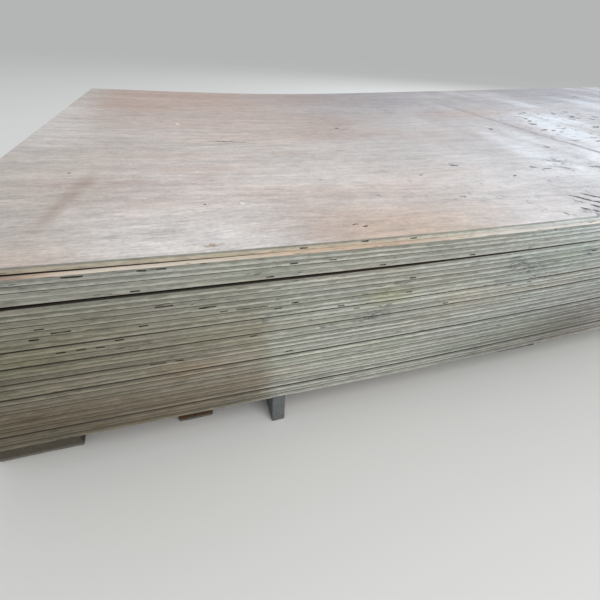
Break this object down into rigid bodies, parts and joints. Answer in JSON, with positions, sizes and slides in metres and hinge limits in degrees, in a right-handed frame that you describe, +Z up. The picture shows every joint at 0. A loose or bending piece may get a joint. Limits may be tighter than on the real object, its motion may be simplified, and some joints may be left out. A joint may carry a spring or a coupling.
{
  "type": "stack of plywood sheets",
  "caption": "Stack of thin plywood sheets with weathered edges, bowed along its length and lying on timber cross bearers.",
  "frame": {"origin": "centre of the stack's footprint, on the floor under the bearers", "axes": "+X along the sheets towards the raised end, +Y across the sheets away from the front edge, +Z up"},
  "size_m": [2.4452, 1.2274, 0.3055],
  "materials": {
    "plywood": "bare sanded veneer, weathered edges",
    "weathered_timber": "rough sawn, weathered",
    "brown_timber": "rough sawn, brown",
    "grey_timber": "rough sawn, grey with cement dust"
  },
  "bodies": {
    "root": {"sheet_01": "plywood", "sheet_02": "plywood", "sheet_03": "plywood", "sheet_04": "plywood", "sheet_05": "plywood", "sheet_06": "plywood", "sheet_07": "plywood", "sheet_08": "plywood", "sheet_09": "plywood", "sheet_10": "plywood", "sheet_11": "plywood", "sheet_12": "plywood", "sheet_13": "plywood", "sheet_14": "plywood", "sheet_15": "plywood", "sheet_16": "plywood", "sheet_17": "plywood", "sheet_18": "plywood", "sheet_19": "plywood", "sheet_20": "plywood", "sheet_21": "plywood", "sheet_22": "plywood", "sheet_23": "plywood", "sheet_24": "plywood", "sheet_25": "plywood", "sheet_26": "plywood", "sheet_27": "plywood", "sheet_28": "plywood", "sheet_29": "plywood", "sheet_30": "plywood", "sheet_31": "plywood", "sheet_32": "plywood", "bearer_flat": "weathered_timber", "bearer_brown": "brown_timber", "bearer_slim": "grey_timber", "bearer_dark": "weathered_timber", "bearer_middle": "weathered_timber", "bearer_right": "weathered_timber"}
  },
  "joints": []
}
